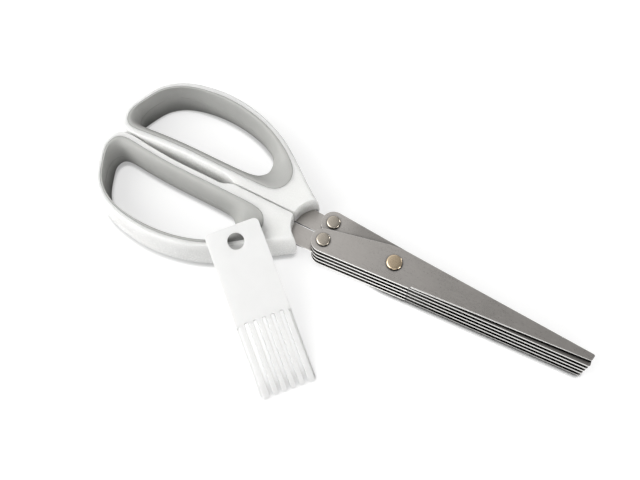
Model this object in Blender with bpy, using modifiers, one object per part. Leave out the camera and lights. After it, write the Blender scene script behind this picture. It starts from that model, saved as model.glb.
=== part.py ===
"""Herb scissors with five pairs of blades, lying closed, and the comb that cleans them.

Run with: blender --background --python part.py

The origin is on the pivot, at the height of the table. X runs to the blade tips, Y towards
the thumb handle and Z up. Each half of the scissors is the other one turned half a turn
about the X axis at mid height, so one set of meshes serves both halves. A mesh is made for
the finger half, round the pivot axis, with its z = 0 at mid height.
"""
import math

import bmesh
import bpy
from mathutils import Matrix, Vector

mm = 0.001

# The stack of blades along the pivot
pair_count = 5
pair_pitch = 3.4 * mm
blade_thick = 1.0 * mm
pair_gap = 0.2 * mm
stack_gap = 0.2 * mm
head_height = 0.9 * mm

# Clearances
fit_gap = 0.3 * mm
pin_gap = 0.15 * mm
tongue_gap = 0.7 * mm
overrun = 2.0 * mm

# Rivets and what is threaded on them
pivot_radius = 1.6 * mm
pivot_head_radius = 3.0 * mm
rear_pin_radius = 1.2 * mm
rear_head_radius = 2.65 * mm
washer_radius = 3.6 * mm
head_round = 0.6 * mm

# Blades, seen from above
blade_reach = 78.1 * mm
pivot_half_width = 6.4 * mm
tip_half_width = 2.2 * mm
shoulder_setback = 1.5 * mm
shoulder_round = 4.0 * mm
edge_lap = 0.45 * mm
tip_rake = 0.5 * mm
tip_round = 0.9 * mm
heel_reach = 8.8 * mm
heel_side = 6.3 * mm
heel_step = 0.5 * mm
rear_reach = 27.2 * mm
rear_side = 4.15 * mm
tongue_radius = 4.6 * mm
grind_width = 0.4 * mm
grind_land = 0.45 * mm

# Tangs of the middle pair
tang_end = 47.4 * mm
tang_outer_side = 8.5 * mm
tang_inner_side = 0.4 * mm
tang_neck_end = 42.7 * mm
tang_root_side = 1.6 * mm
tang_round = 1.2 * mm
peg_setback = 2.9 * mm
peg_radius = 1.3 * mm

# Handle shells
contact_gap = 0.5 * mm
front_arc_reach = 31.4 * mm
front_arc_radius = 10.0 * mm
front_tip_angle = math.radians(113.5)
front_tip_round = 1.0 * mm
outer_wall = 3.3 * mm
end_wall = 2.6 * mm
inner_wall = 3.0 * mm
outer_round = 1.9 * mm
inner_round = 1.3 * mm
front_round = 0.5 * mm
contact_round = 0.4 * mm
bar_flat_start = 66.9 * mm
bar_flat_run = 6.0 * mm
neck_pull = 7.0 * mm
neck_tip_angle = math.radians(152.0)

# Finger loops: the seat of the lining, and the lining's waist at mid height
loop_front = 49.4 * mm
loop_length = 69.9 * mm
loop_inner_side = 2.5 * mm
loop_height = 28.4 * mm
loop_shares = (
    (0.000, 0.300), (0.020, 0.468), (0.090, 0.632), (0.200, 0.798),
    (0.325, 0.917), (0.450, 0.982), (0.572, 1.000), (0.702, 0.966),
    (0.820, 0.880), (0.916, 0.700), (0.972, 0.424), (1.000, 0.208),
    (0.976, 0.042), (0.915, 0.000), (0.786, 0.031), (0.615, 0.058),
    (0.414, 0.058), (0.214, 0.058), (0.078, 0.071), (0.022, 0.158),
)
waist_front = 60.2 * mm
waist_length = 56.2 * mm
waist_inner_side = 6.6 * mm
waist_height = 22.2 * mm
waist_shares = (
    (0.000, 0.354), (0.018, 0.545), (0.072, 0.689), (0.160, 0.828),
    (0.271, 0.928), (0.400, 0.986), (0.547, 1.000), (0.694, 0.976),
    (0.823, 0.890), (0.915, 0.718), (0.976, 0.450), (1.000, 0.225),
    (0.980, 0.072), (0.925, 0.000), (0.786, 0.024), (0.584, 0.048),
    (0.344, 0.053), (0.133, 0.067), (0.055, 0.134), (0.013, 0.234),
)
lining_recess = 0.3 * mm
lining_rim = 0.9 * mm
neck_join_span = 2.6
bar_end_span = 17.0

# How far the shell's rounded sides and the lining's throat draw in, from mid height to the face
barrel_shares = ((0.0, 0.0), (0.50, 0.14), (0.80, 0.45), (0.94, 0.75), (1.0, 1.0))
throat_shares = (0.0, 0.38, 0.70, 0.92, 1.0)

# Cleaning comb
comb_heading = math.radians(49.3)
comb_length = 63.4 * mm
comb_top_width = 20.6 * mm
comb_thick = 2.2 * mm
comb_step = 0.25 * mm
step_setback = 0.3 * mm
comb_head_share = (0.137, 0.512)
tooth_count = 6
tooth_length = 27.9 * mm
tooth_foot_width = 2.1 * mm
tooth_land = 0.4 * mm
tooth_draft = 0.25 * mm
outer_flank = 1.05 * mm
tooth_tip_thick = 1.3 * mm
comb_corner = 2.2 * mm
comb_hole_radius = 3.15 * mm
comb_hole_setback = 5.9 * mm

# Facets
turn_steps = 20
arc_steps = 9
span_steps = 3
corner_steps = 3
settle_rounds = 8

# Sizes that follow
comb_root_width = (tooth_count - 1) * pair_pitch + tooth_foot_width + 2 * outer_flank
stack_height = (pair_count - 1) * pair_pitch + 2 * blade_thick + pair_gap
mid_height = stack_height / 2 + stack_gap + head_height
contact_side = contact_gap / 2


def fresh_collection(name):
    found = bpy.data.collections.get(name) or bpy.data.collections.new(name)
    if found.name not in bpy.context.scene.collection.children:
        bpy.context.scene.collection.children.link(found)
    return found


def plain_material(name, color, roughness, metallic):
    material = bpy.data.materials.new(name)
    material.use_nodes = True
    shader = material.node_tree.nodes["Principled BSDF"]
    shader.inputs["Base Color"].default_value = (*color, 1.0)
    shader.inputs["Roughness"].default_value = roughness
    shader.inputs["Metallic"].default_value = metallic
    material.diffuse_color = (*color, 1.0)
    return material


def arc(centre, radius, start, end, steps):
    """Points along a circle's arc, both ends included."""
    angles = [start + (end - start) * i / steps for i in range(steps + 1)]
    return [Vector((centre[0] + radius * math.cos(a), centre[1] + radius * math.sin(a))) for a in angles]


def rounded(before, corner, after, cut):
    """A corner cut back by the same distance on both sides and bridged by a smooth curve."""
    start = corner + (before - corner).normalized() * cut
    end = corner + (after - corner).normalized() * cut
    shares = [i / corner_steps for i in range(corner_steps + 1)]
    return [start * (1 - t) ** 2 + corner * 2 * t * (1 - t) + end * t ** 2 for t in shares]


def rounded_outline(corners):
    """The closed outline of (point, cut) corners; a cut of zero keeps the corner sharp."""
    outline = []
    for i, (corner, cut) in enumerate(corners):
        if cut == 0:
            outline.append(corner)
            continue
        before = corners[i - 1][0]
        after = corners[(i + 1) % len(corners)][0]
        outline += rounded(before, corner, after, cut)
    return outline


def tangent_angle(point, centre, radius, side):
    """The angle at which a line from the point touches the circle, on the given side."""
    reach = point - centre
    return math.atan2(reach.y, reach.x) + side * math.acos(radius / reach.length)


def smooth_point(before, start, end, after, t):
    """A point of the Catmull-Rom curve between start and end."""
    bend = before * 2 - start * 5 + end * 4 - after
    turn = start * 3 - before - end * 3 + after
    return (start * 2 + (end - before) * t + bend * t ** 2 + turn * t ** 3) / 2


def smooth_loop(controls, steps):
    count = len(controls)
    points = []
    for i in range(count):
        near = [controls[(i + k) % count] for k in (-1, 0, 1, 2)]
        points += [smooth_point(*near, j / steps) for j in range(steps)]
    return points


def outward_normals(points):
    """Unit normals of a closed outline that runs anticlockwise."""
    normals = []
    for i, point in enumerate(points):
        along = points[(i + 1) % len(points)] - points[i - 1]
        normals.append(Vector((along.y, -along.x)).normalized())
    return normals


def close_mesh(mesh):
    """Weld a mesh's seams and point its faces outwards."""
    work = bmesh.new()
    work.from_mesh(mesh)
    bmesh.ops.remove_doubles(work, verts=work.verts, dist=fit_gap / 300)
    bmesh.ops.recalc_face_normals(work, faces=work.faces)
    work.to_mesh(mesh)
    work.free()
    return mesh


def evaluated_mesh(obj, name):
    """The object's mesh as its modifiers leave it; the object itself is removed."""
    graph = bpy.context.evaluated_depsgraph_get()
    mesh = bpy.data.meshes.new_from_object(obj.evaluated_get(graph))
    mesh.name = name
    bpy.data.objects.remove(obj)
    return mesh


def plate_mesh(name, outlines, thick):
    """A flat plate cut to the first outline, with the other outlines as holes, centred in z."""
    curve = bpy.data.curves.new(name, "CURVE")
    curve.dimensions = "2D"
    curve.fill_mode = "BOTH"
    curve.extrude = thick / 2
    for outline in outlines:
        spline = curve.splines.new("POLY")
        spline.points.add(len(outline) - 1)
        spline.use_cyclic_u = True
        for slot, point in zip(spline.points, outline):
            slot.co = (point.x, point.y, 0, 1)
    holder = bpy.data.objects.new(name, curve)
    bpy.context.scene.collection.objects.link(holder)
    bpy.context.view_layer.update()
    return close_mesh(evaluated_mesh(holder, name))


def ring_loft(name, rings, closed):
    """Skin rings of equally many points, closing back on the first ring or with end caps."""
    work = bmesh.new()
    rows = [[work.verts.new(point) for point in ring] for ring in rings]
    pairs = list(zip(rows, rows[1:]))
    if closed:
        pairs.append((rows[-1], rows[0]))
    else:
        work.faces.new(rows[0])
        work.faces.new(rows[-1])
    for low, high in pairs:
        for i in range(len(low)):
            j = (i + 1) % len(low)
            work.faces.new((low[i], low[j], high[j], high[i]))
    bmesh.ops.recalc_face_normals(work, faces=work.faces)
    mesh = bpy.data.meshes.new(name)
    work.to_mesh(mesh)
    work.free()
    return mesh


def turned_mesh(name, profile, closed):
    """Turn a (radius, z) profile about the z axis with a Screw modifier."""
    mesh = bpy.data.meshes.new(name)
    verts = [(radius, 0, z) for radius, z in profile]
    edges = [(i, i + 1) for i in range(len(verts) - 1)]
    if closed:
        edges.append((len(verts) - 1, 0))
    mesh.from_pydata(verts, edges, [])
    holder = bpy.data.objects.new(name, mesh)
    bpy.context.scene.collection.objects.link(holder)
    screw = holder.modifiers.new("turn", "SCREW")
    screw.steps = turn_steps
    screw.render_steps = turn_steps
    screw.use_merge_vertices = True
    screw.merge_threshold = fit_gap / 300
    bpy.context.view_layer.update()
    return close_mesh(evaluated_mesh(holder, name))


def cut_mesh(mesh, cutters):
    """Cut closed meshes out of a mesh, one Boolean modifier for each."""
    holder = bpy.data.objects.new(mesh.name, mesh)
    bpy.context.scene.collection.objects.link(holder)
    for number, cutter_mesh in enumerate(cutters):
        cutter = bpy.data.objects.new(mesh.name + "_cutter_" + str(number + 1), cutter_mesh)
        cutter.hide_render = True
        cutter.display_type = "WIRE"
        cutter_box.objects.link(cutter)
        cut = holder.modifiers.new("cut", "BOOLEAN")
        cut.operation = "DIFFERENCE"
        cut.object = cutter
    bpy.context.view_layer.update()
    return close_mesh(evaluated_mesh(holder, mesh.name))


def box_mesh(name, low, high):
    """A box between two corners, from a primitive cube."""
    work = bmesh.new()
    size = Vector(high) - Vector(low)
    place = Matrix.Translation((Vector(high) + Vector(low)) / 2) @ Matrix.Diagonal((*size, 1))
    bmesh.ops.create_cube(work, size=1, matrix=place)
    mesh = bpy.data.meshes.new(name)
    work.to_mesh(mesh)
    work.free()
    return mesh


def circle(centre, radius):
    return arc(centre, radius, 0, math.tau * (turn_steps - 1) / turn_steps, turn_steps - 1)


# Blades

def spine_side(x):
    return pivot_half_width - (pivot_half_width - tip_half_width) * x / blade_reach


rear_pin = Vector((-rear_reach, -rear_side))
peg_centre = Vector((-tang_end + peg_setback, -(tang_outer_side + tang_root_side) / 2))


def blade_front():
    """Corners from the heel of the cutting edge round the tip to the shoulder over the pivot."""
    return [
        (Vector((heel_reach, -heel_side)), 0),
        (Vector((heel_reach + heel_step, -heel_side + heel_step)), 0),
        (Vector((blade_reach - tip_rake, -edge_lap)), tip_round / 2),
        (Vector((blade_reach, tip_half_width)), tip_round),
        (Vector((-shoulder_setback, spine_side(-shoulder_setback))), shoulder_round),
    ]


def blade_outline(has_tang):
    front = blade_front()
    upper = tangent_angle(front[-1][0], rear_pin, tongue_radius, 1)
    lower = tangent_angle(front[0][0], rear_pin, tongue_radius, -1)
    if has_tang:
        meet = math.acos((rear_side - tang_inner_side) / tongue_radius) + math.pi / 2
        tongue = arc(rear_pin, tongue_radius, upper, meet, corner_steps)
        tang = [
            (Vector((-tang_neck_end, -tang_inner_side)), 0),
            (Vector((-tang_neck_end - fit_gap, -tang_root_side)), 0),
            (Vector((-tang_end, -tang_root_side)), tang_round),
            (Vector((-tang_end, -tang_outer_side)), tang_round),
        ]
        rear = [(point, 0) for point in tongue] + tang
    else:
        rear = [(point, 0) for point in arc(rear_pin, tongue_radius, upper, lower + math.tau, arc_steps)]
    return rounded_outline(front + rear)


def grind_cutter():
    """The wedge of steel that grinding takes off the outer face along the cutting edge."""
    start = Vector((heel_reach + heel_step, -heel_side + heel_step, 0))
    end = Vector((blade_reach - tip_rake, -edge_lap, 0))
    along = (end - start).normalized()
    inward = Vector((-along.y, along.x, 0))
    slope = inward * grind_width + Vector((0, 0, blade_thick - grind_land))
    length = slope.length
    slope.normalize()
    corner = start + Vector((0, 0, grind_land - blade_thick / 2))
    turn = Matrix((along, slope, along.cross(slope))).transposed().to_4x4()
    low = (0, -overrun, 0)
    high = ((end - start).length + overrun, length + overrun, overrun)
    cutter = box_mesh("grind", low, high)
    cutter.transform(Matrix.Translation(corner) @ turn)
    return cutter


def blade_mesh(name, has_tang):
    pivot_hole = circle((0, 0), pivot_radius + pin_gap)
    rear_hole = circle(rear_pin, rear_pin_radius + pin_gap)
    outlines = [blade_outline(has_tang), pivot_hole, rear_hole]
    if has_tang:
        outlines.append(circle(peg_centre, peg_radius + fit_gap))
    return cut_mesh(plate_mesh(name, outlines, blade_thick), [grind_cutter()])


# Handle shells, drawn with the side measured away from the line between the handles

def loop_point(shares, front, length, inner_side, height):
    along_share, side_share = shares
    return Vector((-front - along_share * length, inner_side + side_share * height))


loop_size = (loop_front, loop_length, loop_inner_side, loop_height)
waist_size = (waist_front, waist_length, waist_inner_side, waist_height)
loop_controls = [loop_point(shares, *loop_size) for shares in loop_shares]
waist_controls = [loop_point(shares, *waist_size) for shares in waist_shares]


def smoothstep(share):
    share = min(1, max(0, share))
    return share * share * (3 - 2 * share)


def loop_wall(normal):
    """The shell's wall beside the lining's seat, where the loop's outline faces this way."""
    side_wall = outer_wall + (end_wall - outer_wall) * abs(normal.x)
    return inner_wall + (side_wall - inner_wall) * smoothstep(normal.y + 1)


def loop_ring(inset_share):
    """The shell's outer side round the loop, from the neck, over the rear, to the inner bar."""
    points = smooth_loop(loop_controls, span_steps)
    normals = outward_normals(points)
    first = round(neck_join_span * span_steps)
    last = round(bar_end_span * span_steps)
    ring = []
    for point, normal in zip(points[first:last], normals[first:last]):
        outer_share = smoothstep(normal.y + 1)
        inset = inset_share * (inner_round + (outer_round - inner_round) * outer_share)
        place = point + normal * (loop_wall(normal) - inset)
        flat = contact_side + inset_share * contact_round
        place.y = max(place.y, flat)
        if normal.y < 0 and place.x > -bar_flat_start - bar_flat_run:
            flat_share = smoothstep((place.x + bar_flat_start + bar_flat_run) / bar_flat_run)
            place.y += (flat - place.y) * flat_share
        ring.append(place)
    return ring


front_centre = Vector((-front_arc_reach, 0))


def neck_side(inset):
    """The outer side of the neck, from the front tip to where the loop begins, moved in by inset."""
    outline = smooth_loop(loop_controls, span_steps)
    first = round(neck_join_span * span_steps)
    normal = outward_normals(outline)[first]
    end = outline[first] + normal * loop_wall(normal)
    end_way = Vector((-normal.y, normal.x))
    start = arc(front_centre, front_arc_radius, front_tip_angle, front_tip_angle, 1)[0]
    start_way = Vector((math.cos(neck_tip_angle), math.sin(neck_tip_angle)))
    pulls = (start, start + start_way * neck_pull, end - end_way * neck_pull, end)
    side = []
    for i in range(4 * arc_steps):
        t = i / (4 * arc_steps)
        spread = ((1 - t) ** 3, 3 * t * (1 - t) ** 2, 3 * t ** 2 * (1 - t), t ** 3)
        point = sum((pull * weight for pull, weight in zip(pulls, spread)), Vector((0, 0)))
        steps = [pulls[k + 1] - pulls[k] for k in range(3)]
        way = steps[0] * (1 - t) ** 2 + steps[1] * 2 * t * (1 - t) + steps[2] * t ** 2
        side.append(point - Vector((way.y, -way.x)).normalized() * inset)
    return side


def shell_ring(inset_share):
    """The shell's outline at the height where its sides have drawn in by inset_share."""
    radius = front_arc_radius + inset_share * front_round
    flat = contact_side + inset_share * contact_round
    inner_corner = Vector((-front_arc_reach - math.sqrt(radius ** 2 - flat ** 2), flat))
    side = [p for p in neck_side(inset_share * outer_round) if (p - front_centre).length > radius]
    count = arc_steps - 1
    side = [side[round(i * (len(side) - 1) / count)] for i in range(count + 1)]
    reach = side[0] - front_centre
    tip = front_centre + reach.normalized() * radius
    tip_angle = math.atan2(reach.y, reach.x)
    corner_angle = math.atan2(inner_corner.y, inner_corner.x + front_arc_reach)
    front = arc(front_centre, radius, corner_angle, tip_angle, arc_steps)
    loop = loop_ring(inset_share)
    bar_end = loop[-1]
    bar = [bar_end.lerp(inner_corner, i / 3) for i in (1, 2)]
    ring = rounded(bar[-1], inner_corner, front[1], front_tip_round)
    ring += front[1:-1]
    ring += rounded(front[-2], tip, side[1], front_tip_round)
    ring += side[1:] + loop + bar
    return ring


def shell_levels():
    """(height, inset share) from the lower face to the upper one."""
    upper = [(height_share * mid_height, inset) for height_share, inset in barrel_shares]
    lower = [(-height, inset) for height, inset in reversed(upper[1:])]
    return lower + upper


def finger_side(points, z):
    return [(point.x, -point.y, z) for point in points]


def slot_cutter():
    """The pocket for the tang, open at the front, that leaves a peg standing in it."""
    low_side = tang_root_side - fit_gap
    high_side = tang_outer_side + fit_gap
    corners = [
        (Vector((-front_arc_reach, 0)), 0),
        (Vector((-tang_neck_end - fit_gap, 0)), 0),
        (Vector((-tang_neck_end - 2 * fit_gap, -low_side)), 0),
        (Vector((-tang_end - fit_gap, -low_side)), tang_round),
        (Vector((-tang_end - fit_gap, -high_side)), tang_round),
        (Vector((-front_arc_reach, -high_side)), 0),
    ]
    outlines = [rounded_outline(corners), circle(peg_centre, peg_radius)]
    slot = plate_mesh("slot", outlines, blade_thick + 2 * stack_gap)
    slot.transform(Matrix.Translation((0, 0, (pair_gap + blade_thick) / 2)))
    return slot


def seat_cutter():
    outline = smooth_loop(loop_controls, span_steps)
    wide = [point + normal * fit_gap for point, normal in zip(outline, outward_normals(outline))]
    return plate_mesh("seat", [[Vector((p.x, -p.y)) for p in wide]], 2 * (mid_height + overrun))


def shell_mesh():
    rings = [finger_side(shell_ring(inset), z) for z, inset in shell_levels()]
    return cut_mesh(ring_loft("handle_shell", rings, False), [seat_cutter(), slot_cutter()])


def lining_mesh():
    """A ring whose throat swells from its two rims to a waist at mid height."""
    outline = smooth_loop(loop_controls, span_steps)
    rim = [point - normal * lining_rim for point, normal in zip(outline, outward_normals(outline))]
    waist = smooth_loop(waist_controls, span_steps)
    half = mid_height - lining_recess
    rings = [finger_side(outline, -half), finger_side(outline, half)]
    heights = list(reversed(throat_shares[1:])) + [-share for share in throat_shares]
    for height_share in heights:
        swell = math.sqrt(1 - height_share ** 2)
        throat = [a.lerp(b, swell) for a, b in zip(rim, waist)]
        rings.append(finger_side(throat, height_share * half))
    return ring_loft("grip_lining", rings, True)


# Rivets, spacers and washers

def rivet_mesh(name, pin_radius, head_radius, low, high):
    """A pin between two heads; low and high are the heights of the faces that it holds."""
    foot = low - stack_gap - head_height
    top = high + stack_gap + head_height
    middle = head_radius - head_round
    profile = [
        (0, top),
        (middle, top),
        (middle + head_round * 0.7, top - head_round * 0.3),
        (head_radius, top - head_round),
        (head_radius, high + stack_gap),
        (pin_radius, high + stack_gap),
        (pin_radius, low - stack_gap),
        (head_radius, low - stack_gap),
        (head_radius, foot + head_round),
        (middle + head_round * 0.7, foot + head_round * 0.3),
        (middle, foot),
        (0, foot),
    ]
    return turned_mesh(name, profile, False)


def ring_mesh(name, inner_radius, radius, thick):
    profile = [
        (radius, thick / 2),
        (radius, -thick / 2),
        (inner_radius, -thick / 2),
        (inner_radius, thick / 2),
    ]
    return turned_mesh(name, profile, True)


# Cleaning comb: x across, y from the tooth tips along its length, z = 0 on its underside

def tooth_side(index, side):
    """The x of one side of a tooth's foot; the outer teeth reach out to the plate's edge."""
    centre = (index - (tooth_count - 1) / 2) * pair_pitch
    if index == 0 and side < 0 or index == tooth_count - 1 and side > 0:
        return side * comb_root_width / 2
    return centre + side * tooth_foot_width / 2


def comb_outline():
    outline = []
    slot_radius = (pair_pitch - tooth_foot_width) / 2
    tip_radius = tooth_foot_width / 2
    for i in range(tooth_count):
        left = tooth_side(i, -1) + tip_radius
        right = tooth_side(i, 1) - tip_radius
        outline += arc((left, tip_radius), tip_radius, math.pi, 1.5 * math.pi, corner_steps)
        outline += arc((right, tip_radius), tip_radius, 1.5 * math.pi, math.tau, corner_steps)
        if i < tooth_count - 1:
            slot_centre = (tooth_side(i, 1) + slot_radius, tooth_length - slot_radius)
            outline += arc(slot_centre, slot_radius, math.pi, 0, corner_steps + 1)
    shoulder = tooth_length - outer_flank
    root_right = Vector((comb_root_width / 2, shoulder))
    root_left = Vector((-comb_root_width / 2, shoulder))
    top_right = Vector((comb_top_width / 2, comb_length))
    top_left = Vector((-comb_top_width / 2, comb_length))
    outline.append(root_right)
    outline += rounded(root_right, top_right, top_left, comb_corner)
    outline += rounded(top_right, top_left, root_left, comb_corner)
    outline.append(root_left)
    return [p for i, p in enumerate(outline) if (p - outline[i - 1]).length > pin_gap]


def draft_cutter(foot_left, foot_right, lean_left, lean_right, root_lean):
    """A prism beside a tooth, whose sides lean apart and towards the root from foot to top."""
    rings = []
    for height in (-tooth_land, 2 * comb_thick):
        rise = (height - tooth_land) / (comb_thick - tooth_land)
        left = foot_left - lean_left * rise
        right = foot_right + lean_right * rise
        root = tooth_length - fit_gap - root_lean * (1 - rise)
        sides = ((left, -overrun), (right, -overrun), (right, root), (left, root))
        rings.append([(x, y, height) for x, y in sides])
    return ring_loft("draft", rings, False)


def comb_mesh():
    hole = circle((0, comb_length - comb_hole_setback), comb_hole_radius)
    plate = plate_mesh("cleaning_comb", [comb_outline(), hole], comb_thick)
    plate.transform(Matrix.Translation((0, 0, comb_thick / 2)))
    step = tooth_length + step_setback
    taper = math.atan2(comb_thick - comb_step - tooth_tip_thick, step)
    low = (-comb_root_width - overrun, -step - overrun, 0)
    wedge = box_mesh("taper", low, (comb_root_width + overrun, 0, comb_thick))
    root = Matrix.Translation((0, step, comb_thick - comb_step))
    wedge.transform(root @ Matrix.Rotation(taper, 4, "X"))
    cutters = [wedge]
    for i in range(tooth_count - 1):
        left = tooth_side(i, 1)
        right = tooth_side(i + 1, -1)
        cutters.append(draft_cutter(left, right, tooth_draft, tooth_draft, (right - left) / 2))
    edge = comb_root_width / 2
    lean = outer_flank + tooth_draft
    beyond = edge + lean + overrun
    cutters.append(draft_cutter(edge, beyond, lean, 0, lean))
    cutters.append(draft_cutter(-beyond, -edge, 0, lean, lean))
    return cut_mesh(plate, cutters)


def comb_pose():
    """The place of the tooth tips, and the slope at which the underside clears the handle's edge."""
    along = Vector((-math.sin(comb_heading), math.cos(comb_heading)))
    across = Vector((math.cos(comb_heading), math.sin(comb_heading)))
    head = loop_point(comb_head_share, *loop_size)
    slope = 0
    for _ in range(settle_rounds):
        tips = Vector((head.x, -head.y)) - along * comb_length * math.cos(slope)
        slope = 0
        for z, inset in shell_levels():
            for point in shell_ring(inset):
                reach = Vector((point.x, -point.y)) - tips
                run = reach.dot(along)
                if run > 0 and abs(reach.dot(across)) < comb_root_width / 2 + pair_pitch:
                    slope = max(slope, math.atan2(mid_height + z + fit_gap, run))
    return tips, slope


# Assembly

for old in list(bpy.data.objects):
    bpy.data.objects.remove(old)

scissors = fresh_collection("herb_scissors")
cutter_box = fresh_collection("cutters")

steel = plain_material("brushed_steel", (0.50, 0.48, 0.46), 0.38, 1.0)
rivet_steel = plain_material("rivet_steel", (0.66, 0.62, 0.56), 0.28, 1.0)
shell_white = plain_material("white_shell", (0.88, 0.88, 0.87), 0.3, 0.0)
lining_grey = plain_material("soft_grey_lining", (0.50, 0.51, 0.48), 0.6, 0.0)
comb_white = plain_material("comb_white", (0.90, 0.90, 0.90), 0.35, 0.0)


def place_node(name, mesh, material, parent, height):
    mesh = mesh.copy()
    mesh.name = name
    mesh.materials.clear()
    mesh.materials.append(material)
    mesh.shade_smooth()
    mesh.set_sharp_from_angle(angle=math.radians(32))
    node = bpy.data.objects.new(name, mesh)
    scissors.objects.link(node)
    node.parent = parent
    node.location = (0, 0, height)
    return node


def add_empty(name, location, rotation):
    empty = bpy.data.objects.new(name, None)
    empty.location = location
    empty.rotation_euler = rotation
    scissors.objects.link(empty)
    return empty


def add_half(side, parent):
    """One handle with its five blades, the rear rivet and the spacers on it."""
    plain_blade = blade_mesh("blade", False)
    tang_blade = blade_mesh("tang_blade", True)
    first_centre = (pair_gap + blade_thick) / 2 - (pair_count - 1) / 2 * pair_pitch
    centres = [first_centre + i * pair_pitch for i in range(pair_count)]
    middle = pair_count // 2
    for i, centre in enumerate(centres):
        mesh = tang_blade if i == middle else plain_blade
        place_node(side + "_blade_" + str(i + 1), mesh, steel, parent, centre)
    spacer_radius = 2 * rear_side - tongue_radius - tongue_gap
    spacer_thick = pair_pitch - blade_thick - 2 * stack_gap
    spacer = ring_mesh("spacer", rear_pin_radius + pin_gap, spacer_radius, spacer_thick)
    spacer.transform(Matrix.Translation((rear_pin.x, rear_pin.y, 0)))
    for i in range(pair_count - 1):
        place_node(side + "_spacer_" + str(i + 1), spacer, steel, parent, centres[i] + pair_pitch / 2)
    low = centres[0] - blade_thick / 2
    high = centres[-1] + blade_thick / 2
    rivet = rivet_mesh("rear_rivet", rear_pin_radius, rear_head_radius, low, high)
    rivet.transform(Matrix.Translation((rear_pin.x, rear_pin.y, 0)))
    place_node(side + "_rear_rivet", rivet, rivet_steel, parent, 0)
    place_node(side + "_handle_shell", shell_mesh(), shell_white, parent, 0)
    place_node(side + "_grip_lining", lining_mesh(), lining_grey, parent, 0)


finger_frame = add_empty("finger_half", (0, 0, mid_height), (0, 0, 0))
thumb_frame = add_empty("thumb_half", (0, 0, mid_height), (math.pi, 0, 0))
add_half("finger", finger_frame)
add_half("thumb", thumb_frame)

pivot = rivet_mesh("pivot_rivet", pivot_radius, pivot_head_radius, -stack_height / 2, stack_height / 2)
place_node("pivot_rivet", pivot, rivet_steel, finger_frame, 0)
washer_thick = pair_pitch - 2 * blade_thick - pair_gap - 2 * stack_gap
washer = ring_mesh("pivot_washer", pivot_radius + pin_gap, washer_radius, washer_thick)
for i in range(pair_count - 1):
    height = (i + 0.5 - (pair_count - 1) / 2) * pair_pitch
    place_node("pivot_washer_" + str(i + 1), washer, rivet_steel, finger_frame, height)

comb_tips, comb_slope = comb_pose()
comb_rest = add_empty("comb_rest", (*comb_tips, 0), (comb_slope, 0, comb_heading))
place_node("cleaning_comb", comb_mesh(), comb_white, comb_rest, 0)

for used in (finger_frame, thumb_frame, comb_rest):
    used.empty_display_size = pivot_half_width
bpy.context.view_layer.update()
print("comb slope in degrees:", round(math.degrees(comb_slope), 2))
print("overall height in mm:", round(2 * mid_height / mm, 2))
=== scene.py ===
import math

import bmesh
import bpy
from mathutils import Matrix, Vector


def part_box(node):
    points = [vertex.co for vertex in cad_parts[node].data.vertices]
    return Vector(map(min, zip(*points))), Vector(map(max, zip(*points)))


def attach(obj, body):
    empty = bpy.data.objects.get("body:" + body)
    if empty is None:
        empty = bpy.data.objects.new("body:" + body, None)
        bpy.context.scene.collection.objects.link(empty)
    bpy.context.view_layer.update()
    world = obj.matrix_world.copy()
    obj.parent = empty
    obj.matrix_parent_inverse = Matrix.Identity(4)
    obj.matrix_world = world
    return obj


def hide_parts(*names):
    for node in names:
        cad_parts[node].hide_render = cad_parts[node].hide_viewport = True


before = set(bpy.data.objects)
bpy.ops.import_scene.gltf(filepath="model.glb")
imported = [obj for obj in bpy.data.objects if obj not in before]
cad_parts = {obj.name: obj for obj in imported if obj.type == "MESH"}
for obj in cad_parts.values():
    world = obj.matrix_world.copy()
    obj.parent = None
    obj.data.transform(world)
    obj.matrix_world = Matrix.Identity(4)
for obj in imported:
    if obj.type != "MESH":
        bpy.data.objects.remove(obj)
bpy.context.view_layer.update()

mm = 0.001

# Sizes that the blades, rivets and handles share, and how finely shapes are cut
common = {
    "bladeThick": 1.0 * mm,
    "stackGap": 0.2 * mm,
    "fitGap": 0.3 * mm,
    "pinGap": 0.15 * mm,
    "tangEnd": 47.4 * mm,
    "tangOuterSide": 8.5 * mm,
    "tangInnerSide": 0.5 * mm,
    "tangNeckEnd": 42.7 * mm,
    "tangRootSide": 1.6 * mm,
    "tangRound": 1.2 * mm,
    "pegSetback": 2.9 * mm,
    "pegRadius": 1.3 * mm,
    "spanSteps": 8,
    "arcSteps": 24,
    "cornerSteps": 6,
    "turnSteps": 64,
    "edgeSegments": 3,
    "weldGap": 0.001 * mm,
    "flatAngle": math.radians(0.3),
    "sharpAngle": math.radians(35),
    "flatWeight": 100,
}


def heightOf(node):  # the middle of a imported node's box, above the table
    low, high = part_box(node)
    return (low.z + high.z) / 2


midHeight = heightOf("finger_handle_shell")


def onCircle(centre, radius, angle):
    return Vector((centre[0] + radius * math.cos(angle), centre[1] + radius * math.sin(angle)))


def arc(centre, radius, start, end, steps=common["cornerSteps"]):
    return [onCircle(centre, radius, start + (end - start) * i / steps) for i in range(steps + 1)]


def circle(centre, radius):
    steps = common["turnSteps"] - 1
    return arc(centre, radius, 0, math.tau * steps / (steps + 1), steps)


def quarterTurn(steps):
    return [math.pi / 2 * i / steps for i in range(steps + 1)]


def rounded(before, corner, after, cut):  # a corner cut back on both sides and bent smooth
    start = corner + (before - corner).normalized() * cut
    end = corner + (after - corner).normalized() * cut
    shares = [i / common["cornerSteps"] for i in range(common["cornerSteps"] + 1)]
    return [start * (1 - t) ** 2 + corner * 2 * t * (1 - t) + end * t ** 2 for t in shares]


def sharp(points):  # corners that aren't cut
    return [(point.x, point.y, 0) for point in points]


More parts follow.
